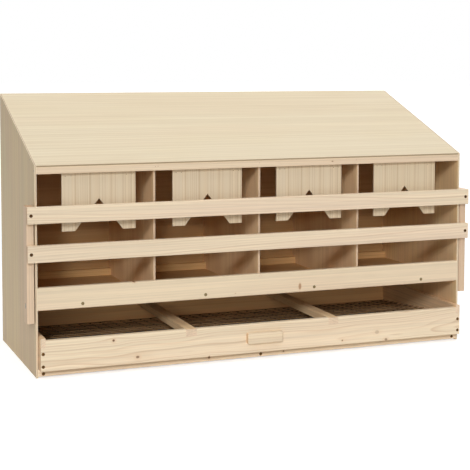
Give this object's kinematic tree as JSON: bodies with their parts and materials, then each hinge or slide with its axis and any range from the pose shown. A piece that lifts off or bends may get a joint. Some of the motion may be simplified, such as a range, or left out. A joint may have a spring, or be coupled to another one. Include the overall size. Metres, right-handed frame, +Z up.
{
  "type": "chicken nesting box",
  "caption": "Wooden nesting box for hens with a pitched roof, notched swing flaps, a fold-down perch frame and a pull-out drawer with a sloping wire floor.",
  "frame": {"origin": "on the ground, under the middle of the whole object", "axes": "+X along the box to the right seen from the front, +Y from front to back, +Z up"},
  "size_m": [1.059, 0.409, 0.59],
  "materials": {
    "pine": "planed, untreated",
    "plywood": "sanded, untreated",
    "hinge_steel": "zinc plated",
    "fastener_steel": "yellowed zinc",
    "mesh_wire": "dark coated"
  },
  "bodies": {
    "cabinet": {"side_panel_left": "plywood", "side_panel_right": "plywood", "roof_panel": "plywood", "back_panel": "plywood", "lintel": "pine", "rear_top_batten": "pine", "roof_cleat_left": "pine", "roof_cleat_right": "pine", "nest_floor": "plywood", "nest_front_board": "pine", "floor_batten_front": "pine", "floor_batten_rear": "pine", "divider_left": "plywood", "divider_middle": "plywood", "divider_right": "plywood", "base_rail_front": "pine", "base_rail_rear": "pine", "runner_left": "pine", "runner_middle": "pine", "runner_right": "pine", "hinge_leaves_fixed": "hinge_steel", "hinge_screws_fixed": "fastener_steel", "perch_pivot_screws": "fastener_steel", "perch_pivot_washers": "fastener_steel", "perch_stop_bolts": "fastener_steel", "front_board_screws": "fastener_steel", "base_rail_screws": "fastener_steel", "panel_nails": "fastener_steel"},
    "perch": {"perch_arm_left": "pine", "perch_arm_right": "pine", "perch_rail_upper": "pine", "perch_rail_lower": "pine", "perch_screws": "fastener_steel"},
    "drawer": {"drawer_front": "pine", "drawer_back": "pine", "drawer_side_left": "pine", "drawer_side_right": "pine", "drawer_bar_left": "pine", "drawer_bar_right": "pine", "drawer_handle": "pine", "mesh_rest_left": "pine", "mesh_rest_right": "pine", "mesh_rest_front": "pine", "mesh_rest_rear": "pine", "drawer_wire_mesh": "mesh_wire", "drawer_screws": "fastener_steel"},
    "flap_1": {"flap_1_panel": "plywood", "flap_1_leaves": "hinge_steel", "flap_1_screws": "fastener_steel"},
    "flap_2": {"flap_2_panel": "plywood", "flap_2_leaves": "hinge_steel", "flap_2_screws": "fastener_steel"},
    "flap_3": {"flap_3_panel": "plywood", "flap_3_leaves": "hinge_steel", "flap_3_screws": "fastener_steel"},
    "flap_4": {"flap_4_panel": "plywood", "flap_4_leaves": "hinge_steel", "flap_4_screws": "fastener_steel"}
  },
  "joints": [
    {"name": "perch_fold", "type": "hinge", "parent": "cabinet", "child": "perch", "pos_m": [0, -0.159, 0.153], "axis": [1, 0, 0], "range_deg": [0, 90]},
    {"name": "drawer_slide", "type": "slide", "parent": "cabinet", "child": "drawer", "axis": [0, -1, 0], "range_m": [0, 0.34]},
    {"name": "flap_1_swing", "type": "hinge", "parent": "cabinet", "child": "flap_1", "pos_m": [0, -0.1572, 0.43154], "axis": [1, 0, 0], "range_deg": [0, 90]},
    {"name": "flap_2_swing", "type": "hinge", "parent": "cabinet", "child": "flap_2", "pos_m": [0, -0.1572, 0.43154], "axis": [1, 0, 0], "range_deg": [0, 90]},
    {"name": "flap_3_swing", "type": "hinge", "parent": "cabinet", "child": "flap_3", "pos_m": [0, -0.1572, 0.43154], "axis": [1, 0, 0], "range_deg": [0, 90]},
    {"name": "flap_4_swing", "type": "hinge", "parent": "cabinet", "child": "flap_4", "pos_m": [0, -0.1572, 0.43154], "axis": [1, 0, 0], "range_deg": [0, 90]}
  ]
}
